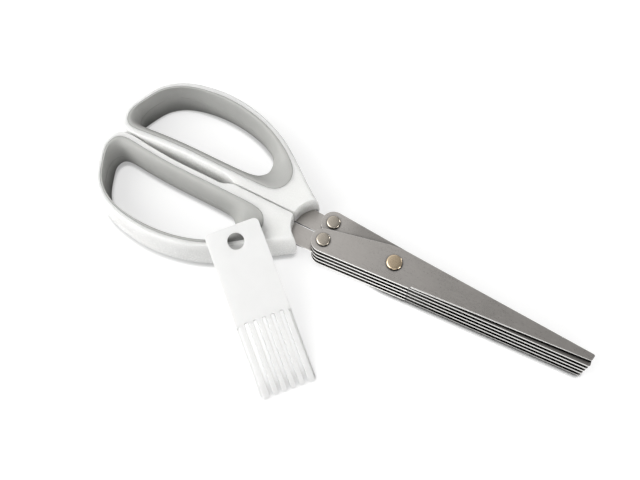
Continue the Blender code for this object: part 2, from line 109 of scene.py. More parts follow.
def roundedOutline(corners):  # x, y and cut of each, where a cut of zero stays sharp
    points = [Vector(corner[:2]) for corner in corners]
    outline = []
    for i, point in enumerate(points):
        cut = corners[i][2]
        after = points[(i + 1) % len(points)]
        outline += [point] if cut == 0 else rounded(points[i - 1], point, after, cut)
    return outline


def smoothLoop(controls, steps):  # a curve through the controls, then eased so that no lump is left
    points = []
    for i in range(len(controls)):
        a, b, c, d = [controls[(i + k) % len(controls)] for k in (-1, 0, 1, 2)]
        for j in range(steps):
            t = j / steps
            bend = a * 2 - b * 5 + c * 4 - d
            turn = b * 3 - a - c * 3 + d
            points.append((b * 2 + (c - a) * t + bend * t ** 2 + turn * t ** 3) / 2)
    for _ in range(steps):
        points = [(points[i - 1] + p * 2 + points[(i + 1) % len(points)]) / 4 for i, p in enumerate(points)]
    return points


def outwardNormals(points):  # of an outline that runs anticlockwise
    ways = [points[(i + 1) % len(points)] - points[i - 1] for i in range(len(points))]
    return [Vector((way.y, -way.x)).normalized() for way in ways]


def inset(points, distance):  # a negative distance moves them outwards
    return [point - normal * distance for point, normal in zip(points, outwardNormals(points))]


def shifted(mesh, x, y, z):
    mesh.transform(Matrix.Translation((x, y, z)))
    return mesh


def meshFrom(work, name):
    bmesh.ops.remove_doubles(work, verts=work.verts, dist=common["weldGap"])
    bmesh.ops.recalc_face_normals(work, faces=work.faces)
    mesh = bpy.data.meshes.new(name)
    work.to_mesh(mesh)
    work.free()
    return mesh


def holderOf(name, data):
    holder = bpy.data.objects.new(name, data)
    bpy.context.scene.collection.objects.link(holder)
    return holder


def evaluatedMesh(holder):  # what the modifiers make of an object, which is then removed
    bpy.context.view_layer.update()
    mesh = bpy.data.meshes.new_from_object(holder.evaluated_get(bpy.context.evaluated_depsgraph_get()))
    bpy.data.objects.remove(holder)
    return mesh


def plainMesh(holder):  # the same, with its doubles merged
    name = holder.name
    work = bmesh.new()
    work.from_mesh(evaluatedMesh(holder))
    return meshFrom(work, name)


def plateMesh(name, outlines, thick):  # a flat plate, where every outline after the first is a hole
    curve = bpy.data.curves.new(name, "CURVE")
    curve.dimensions = "2D"
    curve.fill_mode = "BOTH"
    curve.extrude = thick / 2
    for outline in outlines:
        spline = curve.splines.new("POLY")
        spline.points.add(len(outline) - 1)
        spline.use_cyclic_u = True
        for slot, point in zip(spline.points, outline):
            slot.co = (point.x, point.y, 0, 1)
    return plainMesh(holderOf(name, curve))


def ringLoft(name, rings, closed=False):  # skins rings of equally many points
    work = bmesh.new()
    rows = [[work.verts.new(point) for point in ring] for ring in rings]
    if not closed:
        work.faces.new(rows[0])
        work.faces.new(rows[-1])
    for low, high in zip(rows, rows[1:] + (rows[:1] if closed else [])):
        for i in range(len(low)):
            j = (i + 1) % len(low)
            work.faces.new((low[i], low[j], high[j], high[i]))
    return meshFrom(work, name)


def finishedMesh(mesh, cutters, bevel=0, limit=0):  # cuts, then breaks the sharp edges
    holder = holderOf(mesh.name, mesh)
    tools = [holderOf("cutter", cutter) for cutter in cutters]
    for tool in tools:
        cut = holder.modifiers.new("cut", "BOOLEAN")
        cut.operation = "DIFFERENCE"
        cut.object = tool
    work = bmesh.new()
    work.from_mesh(plainMesh(holder))
    bmesh.ops.dissolve_limit(work, angle_limit=common["flatAngle"], verts=work.verts, edges=work.edges)
    for tool in tools:
        bpy.data.objects.remove(tool)
    holder = holderOf(mesh.name, meshFrom(work, mesh.name))
    if bevel > 0:
        edge = holder.modifiers.new("edge", "BEVEL")
        edge.width = bevel
        edge.segments = common["edgeSegments"]
        edge.limit_method = "ANGLE"
        edge.angle_limit = limit
        edge.miter_outer = "MITER_ARC"
    return plainMesh(holder)


def addPiece(name, mesh, material, slot, body, *nodes):
    if material.name not in mesh.materials:
        mesh.materials.clear()
        mesh.materials.append(material)
    mesh.shade_smooth()
    mesh.set_sharp_from_angle(angle=common["sharpAngle"])
    holder = holderOf(name, mesh)
    flatten = holder.modifiers.new("flatten", "WEIGHTED_NORMAL")  # keeps wide flat faces flat in shade
    flatten.keep_sharp = True
    flatten.weight = common["flatWeight"]
    piece = holderOf(name, evaluatedMesh(holder))
    piece.data.name = name
    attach(piece, body)
    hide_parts(*nodes)


def halfCopy(mesh, side, height=0):  # put in place in the finger half, or turned over in the thumb half
    copy = shifted(mesh.copy(), 0, 0, height)
    if side == "thumb":
        copy.transform(Matrix.Rotation(math.pi, 4, "X"))
    return shifted(copy, 0, 0, midHeight)


# Node helpers

def fillNode(tree, node, links):  # links are (socket of the node, a value or where it comes from)
    for socket, source in links:
        if isinstance(source, bpy.types.NodeSocket):
            tree.links.new(source, node.inputs[socket])
        else:
            node.inputs[socket].default_value = source
    return node


def addNode(tree, kind, links=(), **values):
    node = tree.nodes.new(kind)
    for key, value in values.items():
        setattr(node, key, value)
    return fillNode(tree, node, links)


def firstOut(tree, kind, links=(), **values):
    return addNode(tree, kind, links, **values).outputs[0]


def newTree(name, kind, inputs, outputs):  # a socket has a default value, or only the name of its kind
    tree = bpy.data.node_groups.new(name, kind)
    for flow, sockets in (("INPUT", inputs), ("OUTPUT", outputs)):
        for label, value in sockets.items():
            word = {int: "Int", float: "Float", tuple: "Color"}.get(type(value), value)
            socket = tree.interface.new_socket(label, in_out=flow, socket_type="NodeSocket" + word)
            if word != value:
                socket.default_value = value
    return tree, addNode(tree, "NodeGroupInput").outputs


def closeTree(tree, **results):
    addNode(tree, "NodeGroupOutput", results.items())
    return tree


def mathNode(tree, operation, a, b=0.0, clamp=False):
    return firstOut(tree, "ShaderNodeMath", [(0, a), (1, b)], operation=operation, use_clamp=clamp)


def product(tree, first, *others):
    for other in others:
        first = mathNode(tree, "MULTIPLY", first, other)
    return first


def larger(tree, a, b):
    return mathNode(tree, "MAXIMUM", a, b)


def oneLess(tree, value, clamp=False):
    return mathNode(tree, "SUBTRACT", 1.0, value, clamp)


def weighted(tree, a, b, share):
    return mathNode(tree, "ADD", product(tree, a, share), product(tree, b, 1 - share))


def rangeNode(tree, value, low, high, atLow=0.0, atHigh=1.0):
    links = [("Value", value), ("From Min", low), ("From Max", high), ("To Min", atLow), ("To Max", atHigh)]
    return firstOut(tree, "ShaderNodeMapRange", links)


def noiseNode(tree, vector, scale, detail, roughness=0.5):
    links = [("Vector", vector), ("Scale", scale), ("Detail", detail), ("Roughness", roughness)]
    return addNode(tree, "ShaderNodeTexNoise", links).outputs["Fac"]


def mixNode(tree, share, plain, full):  # of two colours
    links = [("Factor", share), (6, plain), (7, full)]
    return addNode(tree, "ShaderNodeMix", links, data_type="RGBA").outputs[2]


def scaled(tree, colour, factor):
    return firstOut(tree, "ShaderNodeVectorMath", [(0, colour), (1, factor)], operation="MULTIPLY")


def partsOf(tree, vector):
    return addNode(tree, "ShaderNodeSeparateXYZ", [("Vector", vector)]).outputs


def crowding(tree, reach, darkBelow, openAbove):  # painted shade: 1 where faces crowd together and 0 in the open
    near = addNode(tree, "ShaderNodeAmbientOcclusion", [("Distance", reach)], samples=8).outputs["AO"]
    return rangeNode(tree, near, darkBelow, openAbove, 1.0, 0.0)


# Shader node groups

def buildMetalGrain():  # fine streaks along X over a soft mottle
    tree, source = newTree("metalGrain", "ShaderNodeTree", {
        "Vector": "Vector",
        "Tint": (0.5, 0.5, 0.5, 1),
        "Streak Scale": 9000.0,
        "Mottle Scale": 900.0,
        "Contrast": 0.25,
        "Roughness": 0.35,
        "Roughness Spread": 0.1,
    }, {"Color": "Color", "Roughness": "Float", "Height": "Float"})
    stretch = (0.04, 1, 0.3)
    cloudScale = 70.0
    tintGain = 6.0
    roughGain = 4.0
    drawn = firstOut(tree, "ShaderNodeMapping", [("Vector", source["Vector"]), ("Scale", stretch)])
    streak = noiseNode(tree, drawn, source["Streak Scale"], 3.0, 0.6)
    mottle = noiseNode(tree, source["Vector"], source["Mottle Scale"], 5.0, 0.65)
    cloud = noiseNode(tree, source["Vector"], cloudScale, 2.0)
    fine = weighted(tree, streak, mottle, 0.5)
    offset = mathNode(tree, "SUBTRACT", weighted(tree, fine, cloud, 0.75), 0.5)
    gain = mathNode(tree, "ADD", product(tree, source["Contrast"], tintGain, offset), 1.0)
    spread = product(tree, source["Roughness Spread"], roughGain, offset)
    rough = mathNode(tree, "ADD", source["Roughness"], spread, True)
    return closeTree(tree, Color=scaled(tree, source["Tint"], gain), Roughness=rough, Height=fine)


def buildEdgeWear():  # a mask that is 1 where an edge is worn bright or soft, and so carries a painted highlight along edges
    tree, source = newTree("edgeWear", "ShaderNodeTree", {
        "Vector": "Vector",
        "Radius": 0.0003,
        "Break Up": 1200.0,
        "Amount": 1.0,
    }, {"Mask": "Float"})
    soft = firstOut(tree, "ShaderNodeBevel", [("Radius", source["Radius"])], samples=4)
    flat = addNode(tree, "ShaderNodeNewGeometry").outputs["Normal"]
    match = addNode(tree, "ShaderNodeVectorMath", [(0, soft), (1, flat)], operation="DOT_PRODUCT")
    edge = rangeNode(tree, match.outputs["Value"], 0.995, 0.9)  # 1 is a flat face, and less is an edge
    broken = rangeNode(tree, noiseNode(tree, source["Vector"], source["Break Up"], 3.0), 0.35, 0.6, 0.35)
    wornAndHighlit = mathNode(tree, "MULTIPLY", product(tree, edge, broken), source["Amount"], True)
    return closeTree(tree, Mask=wornAndHighlit)


def buildMouldedSkin():  # the faint peel and flow of moulded plastic
    tree, source = newTree("mouldedSkin", "ShaderNodeTree", {
        "Vector": "Vector",
        "Tint": (0.8, 0.8, 0.8, 1),
        "Shade": (0.7, 0.7, 0.7, 1),
        "Grain Scale": 2500.0,
        "Wave Scale": 180.0,
        "Roughness": 0.35,
        "Roughness Spread": 0.1,
    }, {"Color": "Color", "Roughness": "Float", "Height": "Float"})
    grain = noiseNode(tree, source["Vector"], source["Grain Scale"], 4.0, 0.6)
    wave = noiseNode(tree, source["Vector"], source["Wave Scale"], 2.0)
    colour = mixNode(tree, rangeNode(tree, wave, 0.35, 0.65), source["Tint"], source["Shade"])
    spread = product(tree, mathNode(tree, "SUBTRACT", grain, 0.5), 2.0, source["Roughness Spread"])
    rough = mathNode(tree, "ADD", source["Roughness"], spread, True)
    return closeTree(tree, Color=colour, Roughness=rough, Height=weighted(tree, grain, wave, 0.4))


def buildCutSide():  # 1 on upright sides, which are freshly cut, and 0 on flat faces; the steel paints highlights and shade by it
    sizes = {"Flat Above": 0.75, "Upright Below": 0.35}
    tree, source = newTree("cutSide", "ShaderNodeTree", sizes, {"Mask": "Float"})
    normal = addNode(tree, "ShaderNodeNewGeometry").outputs["Normal"]
    steep = mathNode(tree, "ABSOLUTE", partsOf(tree, normal)["Z"])
    return closeTree(tree, Mask=rangeNode(tree, steep, source["Flat Above"], source["Upright Below"]))


def buildCrevice():  # painted shade: 1 in the open and 0 where faces crowd together, from a place along X onwards
    tree, source = newTree("crevice", "ShaderNodeTree", {
        "Vector": "Vector",
        "Reach": 0.003,
        "Dark Below": 0.5,
        "Open Above": 0.9,
        "None Before": -0.51,
        "Full After": -0.5,
        "Depth": 1.0,
    }, {"Open": "Float"})
    closed = crowding(tree, source["Reach"], source["Dark Below"], source["Open Above"])
    share = rangeNode(tree, partsOf(tree, source["Vector"])["X"], source["None Before"], source["Full After"])
    return closeTree(tree, Open=oneLess(tree, product(tree, closed, share, source["Depth"]), True))


metalGrain = buildMetalGrain()
cutSide = buildCutSide()
crevice = buildCrevice()
edgeWear = buildEdgeWear()
mouldedSkin = buildMouldedSkin()
print("shader groups built")


# Materials

def newMaterial(name):
    material = bpy.data.materials.new(name)
    material.use_nodes = True
    tree = material.node_tree
    place = addNode(tree, "ShaderNodeTexCoord").outputs["Object"]
    return material, tree, tree.nodes["Principled BSDF"], place


def addGroup(tree, group, values, vector=None):
    node = addNode(tree, "ShaderNodeGroup", values.items(), node_tree=group)
    if vector is not None:
        tree.links.new(vector, node.inputs["Vector"])
    return node.outputs


def bumpNode(tree, height, strength, distance):
    links = [("Height", height), ("Strength", strength), ("Distance", distance)]
    return firstOut(tree, "ShaderNodeBump", links)


def steelMaterial(name, look):
    material, tree, shader, place = newMaterial(name)
    axes = partsOf(tree, place)
    grain = addGroup(tree, metalGrain, look["grain"], place)
    wornAndHighlit = addGroup(tree, edgeWear, look["wearAndHighlight"], place)["Mask"]
    sheared = addGroup(tree, cutSide, {})["Mask"]
    upright = addGroup(tree, cutSide, look["upright"])["Mask"]
    ground = addNode(tree, "ShaderNodeAttribute", attribute_name="groundSide").outputs["Fac"]
    top = rangeNode(tree, axes["Z"], *look["top"])
    lower = oneLess(tree, top)
    # painted shade where parts crowd together: full on the lower blades, and on the top blade half behind the
    # pivot and full ahead of it
    fromPivot = rangeNode(tree, axes["X"], *look["topCreviceShade"])
    gap = addGroup(tree, crevice, {**look["gap"], "Depth": larger(tree, fromPivot, lower)}, place)
    # what shines, as painted highlights and reflections: the rubbed edges, the spine's cut side and the
    # ground facet, full on the top blade and dim on the lower ones
    plain = oneLess(tree, ground)
    lit = larger(tree, top, look["lowerHighlight"])
    cut = product(tree, sheared, plain)
    spineHighlight = product(tree, cut, rangeNode(tree, axes["X"], *look["side"]))
    between = mathNode(tree, "SUBTRACT", sheared, upright, True)
    slanted = mathNode(tree, "MULTIPLY", between, look["slantGain"], True)
    facetHighlight = product(tree, slanted, ground, lit)
    rubbedHighlight = product(tree, wornAndHighlit, larger(tree, plain, lit))
    paintedHighlight = larger(tree, rubbedHighlight, larger(tree, spineHighlight, facetHighlight))
    # painted shade: the land under the cutting edge and the sides behind the pivot stay dark
    landShade = product(tree, larger(tree, upright, product(tree, slanted, lower)), ground)
    rearShade = mathNode(tree, "SUBTRACT", cut, spineHighlight)
    sideShade = product(tree, larger(tree, landShade, rearShade), look["sideShadeStrength"])
    # painted shade: from the front range onwards the colour falls to frontShade
    front = rangeNode(tree, axes["X"], *look["front"], 1.0, look["frontShade"])
    paintedShadeFactor = product(tree, gap["Open"], front, oneLess(tree, sideShade))
    colour = mixNode(tree, paintedHighlight, grain["Color"], look["edgeHighlightTint"])
    smoothed = product(tree, wornAndHighlit, look["wornSmooth"])
    fillNode(tree, shader, [
        ("Base Color", scaled(tree, colour, paintedShadeFactor)),
        ("Roughness", mathNode(tree, "SUBTRACT", grain["Roughness"], smoothed, True)),
        ("Metallic", 1.0),
        ("Normal", bumpNode(tree, grain["Height"], *look["bump"])),
    ])
    return material


def plasticMaterial(name, look):
    material, tree, shader, place = newMaterial(name)
    skin = addGroup(tree, mouldedSkin, look["skin"], place)
    # painted shade where faces crowd together: the seam between the handles, the loops' corners and the
    # comb's slots
    gap = addGroup(tree, crevice, look["gap"], place)
    fillNode(tree, shader, [
        ("Base Color", scaled(tree, skin["Color"], gap["Open"])),
        ("Roughness", skin["Roughness"]),
        ("Normal", bumpNode(tree, skin["Height"], *look["bump"])),
        *look["shader"].items(),
    ])
    return material


# Ranges along an axis are pairs, from none to full. Bump is a strength and a distance
bladeLook = {
    "grain": {
        "Tint": (0.52, 0.495, 0.47, 1),
        "Streak Scale": 7000.0,
        "Mottle Scale": 1500.0,
        "Contrast": 0.08,
        "Roughness": 0.30,
        "Roughness Spread": 0.08,
    },
    "wearAndHighlight": {"Radius": 0.3 * mm, "Amount": 1.0},
    "upright": {"Flat Above": 0.5, "Upright Below": 0.3},
    # painted shade where faces crowd together
    "gap": {
        "Reach": 2.8 * mm,
        "Dark Below": 0.66,
        "Open Above": 0.88,
        "None Before": -35 * mm,
        "Full After": -31 * mm,
    },
    "topCreviceShade": (-2 * mm, 8 * mm, 0.5),  # and the depth that is left before the range
    "top": (15.1 * mm, 15.65 * mm),
    "side": (-36 * mm, -33 * mm),
    "front": (-24 * mm, -17 * mm),
    "frontShade": 1.0,
    "sideShadeStrength": 0.92,
    "lowerHighlight": 0.06,
    "slantGain": 3.0,
    "edgeHighlightTint": (1.0, 0.985, 0.96, 1),
    "wornSmooth": 0.1,
    "bump": (0.12, 0.02 * mm),
}
rivetLook = {
    **bladeLook,
    "grain": {
        "Tint": (0.45, 0.405, 0.345, 1),
        "Streak Scale": 5000.0,
        "Mottle Scale": 1800.0,
        "Contrast": 0.10,
        "Roughness": 0.27,
        "Roughness Spread": 0.08,
    },
    "wearAndHighlight": {"Radius": 0.15 * mm, "Amount": 0.5},
    "gap": {"Reach": 1.6 * mm, "Dark Below": 0.55, "Open Above": 0.95},
    "topCreviceShade": (-201 * mm, -200 * mm, 1.0),
    "side": (200 * mm, 201 * mm),
    # painted shade on the heads' upright sides
    "sideShadeStrength": 0.9,
    "lowerHighlight": 0.25,
    "edgeHighlightTint": (0.80, 0.76, 0.68, 1),
    "bump": (0.1, 0.02 * mm),
}
translucent = {
    "Subsurface Weight": 0.7,
    "Subsurface Scale": 4.0 * mm,
    "Subsurface Radius": (1, 1, 1),
}
shellLook = {
    "skin": {
        "Tint": (0.90, 0.90, 0.885, 1),
        "Shade": (0.885, 0.887, 0.87, 1),
        "Grain Scale": 2600.0,
        "Wave Scale": 160.0,
        "Roughness": 0.27,
        "Roughness Spread": 0.04,
    },
    "gap": {"Reach": 0.6 * mm, "Dark Below": 0.3, "Open Above": 0.55, "Depth": 0.9},
    "shader": {"IOR": 1.48, "Coat Weight": 0.15, "Coat Roughness": 0.12, **translucent},
    "bump": (0.02, 0.03 * mm),
}
liningLook = {
    "skin": {
        "Tint": (0.465, 0.465, 0.45, 1),
        "Shade": (0.443, 0.445, 0.43, 1),
        "Grain Scale": 4200.0,
        "Wave Scale": 220.0,
        "Roughness": 0.62,
        "Roughness Spread": 0.10,
    },
    "gap": {"Reach": 9.0 * mm, "Dark Below": 0.4, "Open Above": 0.95, "Depth": 0.65},
    "shader": {"IOR": 1.45},
    "bump": (0.22, 0.03 * mm),
}
combLook = {
    "skin": {
        "Tint": (0.90, 0.90, 0.895, 1),
        "Shade": (0.88, 0.88, 0.875, 1),
        "Grain Scale": 2200.0,
        "Wave Scale": 120.0,
        "Roughness": 0.38,
        "Roughness Spread": 0.05,
    },
    "gap": {"Reach": 0.9 * mm, "Dark Below": 0.15, "Open Above": 0.5, "Depth": 0.5},
    "shader": {"IOR": 1.48, **translucent},
    "bump": (0.05, 0.03 * mm),
}
pivotGrain = {**rivetLook["grain"], "Tint": (0.61, 0.49, 0.345, 1)}
brushedSteel = steelMaterial("brushedSteel", bladeLook)
# the thumb blades' copy carries painted shade over their front
thumbSteel = steelMaterial("thumbSteel", {**bladeLook, "frontShade": 0.72})
rivetSteel = steelMaterial("rivetSteel", rivetLook)
pivotSteel = steelMaterial("pivotSteel", {**rivetLook, "grain": pivotGrain})
whiteShell = plasticMaterial("whiteShell", shellLook)
greyLining = plasticMaterial("greyLining", liningLook)
combWhite = plasticMaterial("combWhite", combLook)
print("materials built")


# Geometry Nodes

def runTree(name, mesh, tree, values):  # a tree's result on a mesh, as a plain mesh
    holder = holderOf(name, mesh)
    modifier = holder.modifiers.new(tree.name, "NODES")
    modifier.node_group = tree
    for item in tree.interface.items_tree:
        if item.item_type == "SOCKET" and item.in_out == "INPUT" and item.name in values:
            modifier[item.identifier] = values[item.name]
    return plainMesh(holder)


def copiesAlong(tree, count, start, step, links):
    line = [("Count", count), ("Start Location", start), ("Offset", step)]
    points = firstOut(tree, "GeometryNodeMeshLine", line)
    return firstOut(tree, "GeometryNodeInstanceOnPoints", [("Points", points), *links])


def shapeTree(name, sizes):  # takes a shape, its sizes and a material, and gives a shape
    inputs = {"Geometry": "Geometry", **sizes, "Material": "Material"}
    return newTree(name, "GeometryNodeTree", inputs, {"Geometry": "Geometry"})


def endTree(tree, source, geometry):  # made real and given a material
    real = firstOut(tree, "GeometryNodeRealizeInstances", [("Geometry", geometry)])
    done = firstOut(tree, "GeometryNodeSetMaterial", [("Geometry", real), ("Material", source["Material"])])
    return closeTree(tree, Geometry=done)


def stacked(tree, source, links):  # copies up the Z axis
    step = firstOut(tree, "ShaderNodeCombineXYZ", [("Z", source["Pitch"])])
    return endTree(tree, source, copiesAlong(tree, source["Copies"], (0, 0, 0), step, links))


def buildTurned():  # turns a profile of edges, x out and y down, about the Z axis, and repeats it
    sizes = {"Segments": 64, "Turning Radius": 0.01, "Copies": 1, "Pitch": 0.001}
    tree, source = shapeTree("turnedStack", sizes)
    profile = firstOut(tree, "GeometryNodeMeshToCurve", [("Mesh", source["Geometry"])])
    along = addNode(tree, "GeometryNodeSplineParameter").outputs["Length"]
    kept = addNode(tree, "GeometryNodeCaptureAttribute")
    kept.capture_items.new("FLOAT", "Line")
    fillNode(tree, kept, [(0, profile), (1, along)])
    shift = firstOut(tree, "ShaderNodeCombineXYZ", [("X", product(tree, source["Turning Radius"], -1.0))])
    moved = firstOut(tree, "GeometryNodeSetPosition", [("Geometry", kept.outputs[0]), ("Offset", shift)])
    ring = firstOut(tree, "GeometryNodeCurvePrimitiveCircle", [
        ("Resolution", source["Segments"]), ("Radius", source["Turning Radius"])])
    skin = firstOut(tree, "GeometryNodeCurveToMesh", [("Curve", ring), ("Profile Curve", moved)])
    line = [("Geometry", skin), ("Name", "turnLine"), ("Value", kept.outputs[1])]
    marked = firstOut(tree, "GeometryNodeStoreNamedAttribute", line, data_type="FLOAT", domain="POINT")
    weld = [("Geometry", marked), ("Distance", common["weldGap"])]
    return stacked(tree, source, [("Instance", firstOut(tree, "GeometryNodeMergeByDistance", weld))])


def buildBladeStack():  # repeats a blade up the stack and leaves one place free
    tree, source = shapeTree("bladeStack", {"Copies": 5, "Pitch": 0.003, "Free Place": 2})
    place = firstOut(tree, "GeometryNodeInputIndex")
    kept = firstOut(tree, "FunctionNodeCompare", [("A", place), ("B", source["Free Place"])],
                    data_type="INT", operation="NOT_EQUAL")
    return stacked(tree, source, [("Instance", source["Geometry"]), ("Selection", kept)])


def buildCombSlots():  # cuts a row of slots, evenly spaced across X about the middle
    tree, source = shapeTree("combSlots", {"Slot": "Object", "Slots": 5, "Pitch": 0.003})
    slot = addNode(tree, "GeometryNodeObjectInfo", [("Object", source["Slot"])]).outputs["Geometry"]
    half = product(tree, mathNode(tree, "SUBTRACT", source["Slots"], 1.0), source["Pitch"], -0.5)
    start = firstOut(tree, "ShaderNodeCombineXYZ", [("X", half)])
    step = firstOut(tree, "ShaderNodeCombineXYZ", [("X", source["Pitch"])])
    copies = copiesAlong(tree, source["Slots"], start, step, [("Instance", slot)])
    cutters = firstOut(tree, "GeometryNodeRealizeInstances", [("Geometry", copies)])
    cut = firstOut(tree, "GeometryNodeMeshBoolean", [("Mesh 1", source["Geometry"]), ("Mesh 2", cutters)],
                   operation="DIFFERENCE", solver="EXACT")
    return endTree(tree, source, cut)


turnedStack = buildTurned()
bladeStack = buildBladeStack()
combSlots = buildCombSlots()
print("geometry trees built")


# Blades

blade = {
    "count": 5,
    "pitch": 3.4 * mm,
    "pairGap": 0.2 * mm,
    "reach": 78.05 * mm,
    "pivotHalfWidth": 6.4 * mm,
    "tipHalfWidth": 2.2 * mm,
    "shoulderSetback": 1.5 * mm,
    "shoulderRound": 4.0 * mm,
    "edgeLap": 0.45 * mm,
    "tipRake": 0.5 * mm,
    "tipRound": 0.9 * mm,
    "heelReach": 8.8 * mm,
    "heelSide": 6.3 * mm,
    "heelStep": 0.5 * mm,
    "rearReach": 27.2 * mm,
    "rearSide": 4.15 * mm,
    "tongueRadius": 4.6 * mm,
    "tangFootAngle": math.radians(233),
    "grindWidth": 0.40 * mm,
    "grindTipWidth": 0.14 * mm,
    "grindLand": 0.45 * mm,
    "pivotRadius": 1.6 * mm,
    "rearPinRadius": 1.2 * mm,
    "brokenEdge": 0.07 * mm,
    "brokenAngle": math.radians(30),
}
pivotPin = Vector((0, 0))
rearPin = Vector((-blade["rearReach"], -blade["rearSide"]))
pegSide = (common["tangOuterSide"] + common["tangRootSide"]) / 2
pegCentre = Vector((common["pegSetback"] - common["tangEnd"], -pegSide))


def spineSide(x):
    return blade["pivotHalfWidth"] - (blade["pivotHalfWidth"] - blade["tipHalfWidth"]) * x / blade["reach"]


def touchAngle(point, side):  # where a line from the point touches the tongue's circle
    way = point - rearPin
    return math.atan2(way.y, way.x) + side * math.acos(blade["tongueRadius"] / way.length)


def tangCorners(gap):  # the sides that the tang and its pocket share, wider apart by the gap
    end = -common["tangEnd"] - gap
    root = gap - common["tangRootSide"]
    return [
        (-common["tangNeckEnd"] - common["fitGap"] - gap, root, 0),
        (end, root, common["tangRound"]),
        (end, -common["tangOuterSide"] - gap, common["tangRound"]),
    ]


def bladeOutline(hasTang):
    heel = Vector((blade["heelReach"], -blade["heelSide"]))
    shoulder = Vector((-blade["shoulderSetback"], spineSide(-blade["shoulderSetback"])))
    front = [
        (heel.x, heel.y, 0),
        (heel.x + blade["heelStep"], heel.y + blade["heelStep"], 0),
        (blade["reach"] - blade["tipRake"], -blade["edgeLap"], blade["tipRound"] / 2),
        (blade["reach"], blade["tipHalfWidth"], blade["tipRound"]),
        (shoulder.x, shoulder.y, blade["shoulderRound"]),
    ]
    radius = blade["tongueRadius"]
    upper = touchAngle(shoulder, 1)
    lower = touchAngle(heel, -1) + math.tau
    if not hasTang:
        return roundedOutline(front + sharp(arc(rearPin, radius, upper, lower, common["arcSteps"])))
    meet = math.acos((blade["rearSide"] - common["tangInnerSide"]) / radius) + math.pi / 2
    tang = [(-common["tangNeckEnd"], -common["tangInnerSide"], 0)] + tangCorners(0)
    brow = arc(rearPin, radius, upper, meet)
    foot = arc(rearPin, radius, blade["tangFootAngle"], lower)
    return roundedOutline(front + sharp(brow) + tang + sharp(foot))


def grindCutter():  # the wedge that grinding takes off along the cutting edge, narrower to the tip
    start = Vector((blade["heelReach"] + blade["heelStep"], blade["heelStep"] - blade["heelSide"], 0))
    end = Vector((blade["reach"] - blade["tipRake"], -blade["edgeLap"], 0))
    inward = Vector((start.y - end.y, end.x - start.x, 0)).normalized()
    upper = Vector((0, 0, common["bladeThick"] / 2))
    first = start + inward * blade["grindWidth"] + upper
    last = end + inward * blade["grindTipWidth"] + upper
    along = (last - first).normalized()
    drop = start + Vector((0, 0, blade["grindLand"] - common["bladeThick"] / 2)) - first
    back = drop.dot(along)
    slope = (along * back - drop).normalized()
    turn = Matrix((along, slope, along.cross(slope))).transposed().to_4x4()
    far = 2 * mm
    front = (last - first).length + far
    base = ((back, -far), (front, -far), (front, far), (back, far))
    rings = [[turn @ Vector((x, y, z)) + first for x, y in base] for z in (0, far)]
    return ringLoft("grind", rings)


def markGround(mesh):  # 1 beside the cutting edge, 0 along the spine and behind the heel
    start = Vector((blade["heelReach"], -blade["heelSide"]))
    end = Vector((blade["reach"], -blade["edgeLap"]))
    share = mesh.attributes.new("groundSide", "FLOAT", "POINT")
    for i, vert in enumerate(mesh.vertices):
        x, y, _ = vert.co
        edge = start.y + (end.y - start.y) * (x - start.x) / (end.x - start.x)
        share.data[i].value = 1.0 if x >= start.x and y < (edge + spineSide(x)) / 2 else 0.0
    return mesh


def bladeMesh(name, hasTang):
    outlines = [bladeOutline(hasTang), circle(pivotPin, blade["pivotRadius"] + common["pinGap"]),
                circle(rearPin, blade["rearPinRadius"] + common["pinGap"])]
    if hasTang:
        outlines.append(circle(pegCentre, common["pegRadius"] + common["fitGap"]))
    plate = plateMesh(name, outlines, common["bladeThick"])
    return markGround(finishedMesh(plate, [grindCutter()], blade["brokenEdge"], blade["brokenAngle"]))


middle = blade["count"] // 2
firstHeight = (blade["pairGap"] + common["bladeThick"]) / 2 - middle * blade["pitch"]
middleHeight = firstHeight + middle * blade["pitch"]
plainBlade = bladeMesh("blade", False)
tangBlade = bladeMesh("tangBlade", True)
for side, steel in (("finger", brushedSteel), ("thumb", thumbSteel)):
    values = {"Copies": blade["count"], "Pitch": blade["pitch"], "Free Place": middle, "Material": steel}
    stack = halfCopy(runTree("blades", plainBlade.copy(), bladeStack, values), side, firstHeight)
    tang = halfCopy(tangBlade, side, middleHeight)
    nodes = [side + "_blade_" + str(i + 1) for i in range(blade["count"])]
    tangNode = nodes.pop(middle)
    addPiece(side + "Blades", stack, steel, "brushed_steel", side + "_half", *nodes)
    addPiece(side + "TangBlade", tang, steel, "brushed_steel", side + "_half", tangNode)
print("blades built")


# Rivets, washers and spacers

rivet = {
    "pivotHead": 3.0 * mm,
    "rearHead": 2.65 * mm,
    "headHeight": 0.9 * mm,
    "headRound": 0.6 * mm,
    "crown": 0.06 * mm,
    "crownShares": (0, 0.25, 0.5, 0.7, 0.85, 1),
    "roundSteps": 7,
    "footRise": 0.08 * mm,
    "footInset": 0.06 * mm,
    "washerRadius": 3.6 * mm,
    "spacerGap": 0.7 * mm,
    "ringEdge": 0.12 * mm,
}


def sideOf(node):
    return "thumb" if node.startswith("thumb") else "finger"


def turnedPiece(name, points, closed, centre, height, material, slot, nodes):  # (radius, height) points
    side = sideOf(nodes[0])
    edges = [(i, i + 1) for i in range(len(points) - 1)] + ([(len(points) - 1, 0)] if closed else [])
    profile = bpy.data.meshes.new(name)
    profile.from_pydata([(radius, -z, 0) for radius, z in points], edges, [])
    values = {"Segments": common["turnSteps"], "Copies": len(nodes), "Pitch": blade["pitch"],
              "Material": material}
    mesh = shifted(runTree(name, profile, turnedStack, values), centre.x, centre.y, 0)
    addPiece(name, halfCopy(mesh, side, height), material, slot, side + "_half", *nodes)


